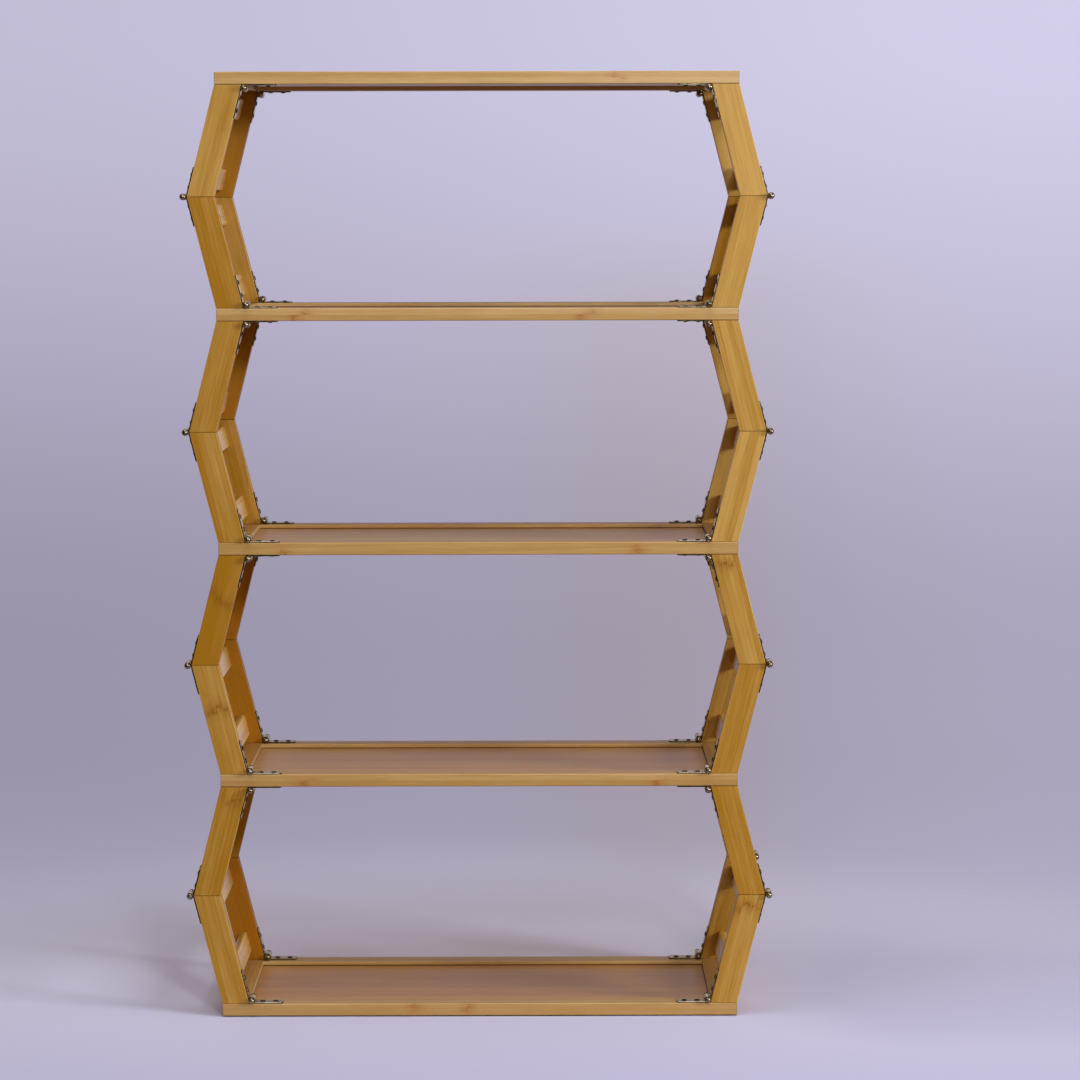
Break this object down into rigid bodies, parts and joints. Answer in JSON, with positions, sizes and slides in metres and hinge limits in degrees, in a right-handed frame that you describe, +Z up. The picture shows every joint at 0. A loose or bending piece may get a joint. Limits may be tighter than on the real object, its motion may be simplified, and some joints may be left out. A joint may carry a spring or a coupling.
{
  "type": "folding bookstand rack",
  "caption": "Folding bamboo bookstand rack: framed shelves on side frames hinged at the middle and at both shelves, so that each tier folds flat.",
  "frame": {"origin": "on the floor, at the bottom centre of the whole rack's box", "axes": "+X along the shelves to the right as seen from the front, +Y from the front to the back, +Z up"},
  "size_m": [0.5676, 0.2426, 0.912],
  "materials": {
    "bamboo_rails": "satin clear lacquer over laminated bamboo strips",
    "bamboo_board": "satin clear lacquer over thin bamboo strips",
    "bamboo_frames": "satin clear lacquer over laminated bamboo strips",
    "hinge_bronze": "antique bronze plating, bright where it is worn",
    "screw_bronze": "antique bronze plating"
  },
  "bodies": {
    "shelf_1": {"shelf_1_long_rails": "bamboo_rails", "shelf_1_end_rails": "bamboo_rails", "shelf_1_board": "bamboo_board", "shelf_1_hinges": "hinge_bronze", "shelf_1_screws": "screw_bronze"},
    "shelf_2": {"shelf_2_long_rails": "bamboo_rails", "shelf_2_end_rails": "bamboo_rails", "shelf_2_board": "bamboo_board", "shelf_2_hinges": "hinge_bronze", "shelf_2_screws": "screw_bronze"},
    "shelf_3": {"shelf_3_long_rails": "bamboo_rails", "shelf_3_end_rails": "bamboo_rails", "shelf_3_board": "bamboo_board", "shelf_3_hinges": "hinge_bronze", "shelf_3_screws": "screw_bronze"},
    "shelf_4": {"shelf_4_long_rails": "bamboo_rails", "shelf_4_end_rails": "bamboo_rails", "shelf_4_board": "bamboo_board", "shelf_4_hinges": "hinge_bronze", "shelf_4_screws": "screw_bronze"},
    "shelf_5": {"shelf_5_long_rails": "bamboo_rails", "shelf_5_end_rails": "bamboo_rails", "shelf_5_board": "bamboo_board", "shelf_5_hinges": "hinge_bronze", "shelf_5_screws": "screw_bronze"},
    "tier_1_left_lower": {"tier_1_left_lower_frame": "bamboo_frames", "tier_1_left_lower_hinges": "hinge_bronze"},
    "tier_1_left_upper": {"tier_1_left_upper_frame": "bamboo_frames", "tier_1_left_upper_hinges": "hinge_bronze"},
    "tier_1_right_lower": {"tier_1_right_lower_frame": "bamboo_frames", "tier_1_right_lower_hinges": "hinge_bronze"},
    "tier_1_right_upper": {"tier_1_right_upper_frame": "bamboo_frames", "tier_1_right_upper_hinges": "hinge_bronze"},
    "tier_2_left_lower": {"tier_2_left_lower_frame": "bamboo_frames", "tier_2_left_lower_hinges": "hinge_bronze"},
    "tier_2_left_upper": {"tier_2_left_upper_frame": "bamboo_frames", "tier_2_left_upper_hinges": "hinge_bronze"},
    "tier_2_right_lower": {"tier_2_right_lower_frame": "bamboo_frames", "tier_2_right_lower_hinges": "hinge_bronze"},
    "tier_2_right_upper": {"tier_2_right_upper_frame": "bamboo_frames", "tier_2_right_upper_hinges": "hinge_bronze"},
    "tier_3_left_lower": {"tier_3_left_lower_frame": "bamboo_frames", "tier_3_left_lower_hinges": "hinge_bronze"},
    "tier_3_left_upper": {"tier_3_left_upper_frame": "bamboo_frames", "tier_3_left_upper_hinges": "hinge_bronze"},
    "tier_3_right_lower": {"tier_3_right_lower_frame": "bamboo_frames", "tier_3_right_lower_hinges": "hinge_bronze"},
    "tier_3_right_upper": {"tier_3_right_upper_frame": "bamboo_frames", "tier_3_right_upper_hinges": "hinge_bronze"},
    "tier_4_left_lower": {"tier_4_left_lower_frame": "bamboo_frames", "tier_4_left_lower_hinges": "hinge_bronze"},
    "tier_4_left_upper": {"tier_4_left_upper_frame": "bamboo_frames", "tier_4_left_upper_hinges": "hinge_bronze"},
    "tier_4_right_lower": {"tier_4_right_lower_frame": "bamboo_frames", "tier_4_right_lower_hinges": "hinge_bronze"},
    "tier_4_right_upper": {"tier_4_right_upper_frame": "bamboo_frames", "tier_4_right_upper_hinges": "hinge_bronze"}
  },
  "joints": [
    {"name": "tier_1_left_foot", "type": "hinge", "parent": "shelf_1", "child": "tier_1_left_lower", "pos_m": [-0.22149, 0, 0.0155], "axis": [0, 1, 0], "range_deg": [0, 104.2]},
    {"name": "tier_1_left_knee", "type": "hinge", "parent": "tier_1_left_lower", "child": "tier_1_left_upper", "pos_m": [-0.28061, 0, 0.1185], "axis": [0, 1, 0], "range_deg": [-208.4, 0]},
    {"name": "tier_1_fold", "type": "hinge", "parent": "tier_1_left_upper", "child": "shelf_2", "pos_m": [-0.22149, 0, 0.2215], "axis": [0, 1, 0], "range_deg": [0, 104.2]},
    {"name": "tier_1_right_foot", "type": "hinge", "parent": "shelf_1", "child": "tier_1_right_lower", "pos_m": [0.22149, 0, 0.0155], "axis": [0, 1, 0], "range_deg": [-104.2, 0]},
    {"name": "tier_1_right_knee", "type": "hinge", "parent": "tier_1_right_lower", "child": "tier_1_right_upper", "pos_m": [0.28061, 0, 0.1185], "axis": [0, 1, 0], "range_deg": [0, 208.4]},
    {"name": "tier_2_left_foot", "type": "hinge", "parent": "shelf_2", "child": "tier_2_left_lower", "pos_m": [-0.22149, 0, 0.2405], "axis": [0, 1, 0], "range_deg": [0, 104.2]},
    {"name": "tier_2_left_knee", "type": "hinge", "parent": "tier_2_left_lower", "child": "tier_2_left_upper", "pos_m": [-0.28061, 0, 0.3435], "axis": [0, 1, 0], "range_deg": [-208.4, 0]},
    {"name": "tier_2_fold", "type": "hinge", "parent": "tier_2_left_upper", "child": "shelf_3", "pos_m": [-0.22149, 0, 0.4465], "axis": [0, 1, 0], "range_deg": [0, 104.2]},
    {"name": "tier_2_right_foot", "type": "hinge", "parent": "shelf_2", "child": "tier_2_right_lower", "pos_m": [0.22149, 0, 0.2405], "axis": [0, 1, 0], "range_deg": [-104.2, 0]},
    {"name": "tier_2_right_knee", "type": "hinge", "parent": "tier_2_right_lower", "child": "tier_2_right_upper", "pos_m": [0.28061, 0, 0.3435], "axis": [0, 1, 0], "range_deg": [0, 208.4]},
    {"name": "tier_3_left_foot", "type": "hinge", "parent": "shelf_3", "child": "tier_3_left_lower", "pos_m": [-0.22149, 0, 0.4655], "axis": [0, 1, 0], "range_deg": [0, 104.2]},
    {"name": "tier_3_left_knee", "type": "hinge", "parent": "tier_3_left_lower", "child": "tier_3_left_upper", "pos_m": [-0.28061, 0, 0.5685], "axis": [0, 1, 0], "range_deg": [-208.4, 0]},
    {"name": "tier_3_fold", "type": "hinge", "parent": "tier_3_left_upper", "child": "shelf_4", "pos_m": [-0.22149, 0, 0.6715], "axis": [0, 1, 0], "range_deg": [0, 104.2]},
    {"name": "tier_3_right_foot", "type": "hinge", "parent": "shelf_3", "child": "tier_3_right_lower", "pos_m": [0.22149, 0, 0.4655], "axis": [0, 1, 0], "range_deg": [-104.2, 0]},
    {"name": "tier_3_right_knee", "type": "hinge", "parent": "tier_3_right_lower", "child": "tier_3_right_upper", "pos_m": [0.28061, 0, 0.5685], "axis": [0, 1, 0], "range_deg": [0, 208.4]},
    {"name": "tier_4_left_foot", "type": "hinge", "parent": "shelf_4", "child": "tier_4_left_lower", "pos_m": [-0.22149, 0, 0.6905], "axis": [0, 1, 0], "range_deg": [0, 104.2]},
    {"name": "tier_4_left_knee", "type": "hinge", "parent": "tier_4_left_lower", "child": "tier_4_left_upper", "pos_m": [-0.28061, 0, 0.7935], "axis": [0, 1, 0], "range_deg": [-208.4, 0]},
    {"name": "tier_4_fold", "type": "hinge", "parent": "tier_4_left_upper", "child": "shelf_5", "pos_m": [-0.22149, 0, 0.8965], "axis": [0, 1, 0], "range_deg": [0, 104.2]},
    {"name": "tier_4_right_foot", "type": "hinge", "parent": "shelf_4", "child": "tier_4_right_lower", "pos_m": [0.22149, 0, 0.6905], "axis": [0, 1, 0], "range_deg": [-104.2, 0]},
    {"name": "tier_4_right_knee", "type": "hinge", "parent": "tier_4_right_lower", "child": "tier_4_right_upper", "pos_m": [0.28061, 0, 0.7935], "axis": [0, 1, 0], "range_deg": [0, 208.4]}
  ],
  "couplings": [
    {"joint": "tier_1_left_foot", "follows": "tier_1_fold", "ratio": 1},
    {"joint": "tier_1_left_knee", "follows": "tier_1_fold", "ratio": -2},
    {"joint": "tier_1_right_foot", "follows": "tier_1_fold", "ratio": -1},
    {"joint": "tier_1_right_knee", "follows": "tier_1_fold", "ratio": 2},
    {"joint": "tier_2_left_foot", "follows": "tier_2_fold", "ratio": 1},
    {"joint": "tier_2_left_knee", "follows": "tier_2_fold", "ratio": -2},
    {"joint": "tier_2_right_foot", "follows": "tier_2_fold", "ratio": -1},
    {"joint": "tier_2_right_knee", "follows": "tier_2_fold", "ratio": 2},
    {"joint": "tier_3_left_foot", "follows": "tier_3_fold", "ratio": 1},
    {"joint": "tier_3_left_knee", "follows": "tier_3_fold", "ratio": -2},
    {"joint": "tier_3_right_foot", "follows": "tier_3_fold", "ratio": -1},
    {"joint": "tier_3_right_knee", "follows": "tier_3_fold", "ratio": 2},
    {"joint": "tier_4_left_foot", "follows": "tier_4_fold", "ratio": 1},
    {"joint": "tier_4_left_knee", "follows": "tier_4_fold", "ratio": -2},
    {"joint": "tier_4_right_foot", "follows": "tier_4_fold", "ratio": -1},
    {"joint": "tier_4_right_knee", "follows": "tier_4_fold", "ratio": 2}
  ]
}
